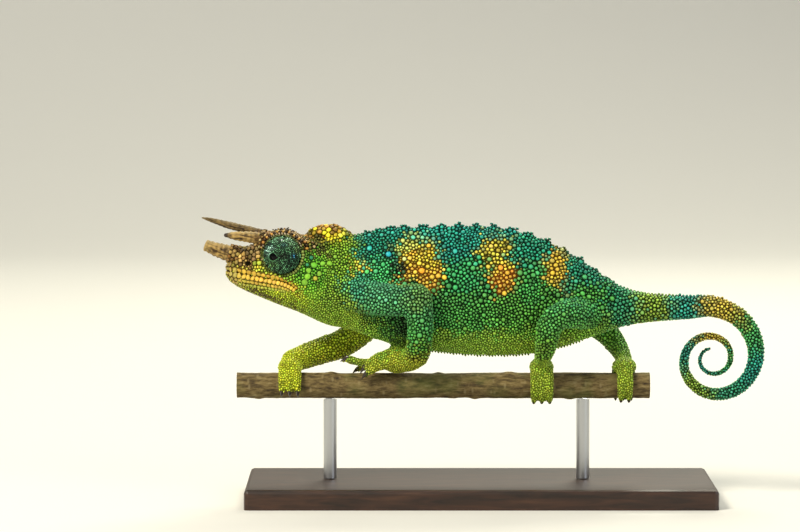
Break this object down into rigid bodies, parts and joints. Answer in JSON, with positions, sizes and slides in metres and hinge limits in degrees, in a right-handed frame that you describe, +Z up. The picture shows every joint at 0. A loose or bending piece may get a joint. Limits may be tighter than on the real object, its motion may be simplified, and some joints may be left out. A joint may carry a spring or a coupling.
{
  "type": "male three-horned chameleon display model on a perch and stand",
  "caption": "Life-size still model of a male Jackson's chameleon gripping a cut length of branch on a plain display stand, tail coiled.",
  "frame": {"origin": "centre of the underside of the stand's base", "axes": "+X from the snout towards the tail, +Y towards the animal's right side, +Z up"},
  "size_m": [0.17, 0.056, 0.0846],
  "materials": {
    "bark": "matte",
    "body_skin": "satin",
    "eyeball": "polished",
    "head_skin": "satin",
    "horn": "matte",
    "stand_steel": "satin",
    "stand_wood": "satin",
    "turret_skin": "satin"
  },
  "bodies": {
    "root": {"head": "head_skin", "left_brow_horn": "horn", "left_eye_turret": "turret_skin", "left_eyeball": "eyeball", "left_foot_inner_toes": "body_skin", "left_foot_outer_toes": "body_skin", "left_foot_palm": "body_skin", "left_forearm": "body_skin", "left_hand_inner_fingers": "body_skin", "left_hand_outer_fingers": "body_skin", "left_hand_palm": "body_skin", "left_shank": "body_skin", "left_thigh": "body_skin", "left_upper_arm": "body_skin", "lower_jaw": "head_skin", "neck": "body_skin", "nose_horn": "horn", "perch": "bark", "right_brow_horn": "horn", "right_eye_turret": "turret_skin", "right_eyeball": "eyeball", "right_foot_inner_toes": "body_skin", "right_foot_outer_toes": "body_skin", "right_foot_palm": "body_skin", "right_forearm": "body_skin", "right_hand_inner_fingers": "body_skin", "right_hand_outer_fingers": "body_skin", "right_hand_palm": "body_skin", "right_shank": "body_skin", "right_thigh": "body_skin", "right_upper_arm": "body_skin", "stand_base": "stand_wood", "stand_rod_front": "stand_steel", "stand_rod_rear": "stand_steel", "tail_1": "body_skin", "tail_2": "body_skin", "tail_3": "body_skin", "tail_4": "body_skin", "tail_5": "body_skin", "tail_6": "body_skin", "torso": "body_skin"}
  },
  "joints": []
}
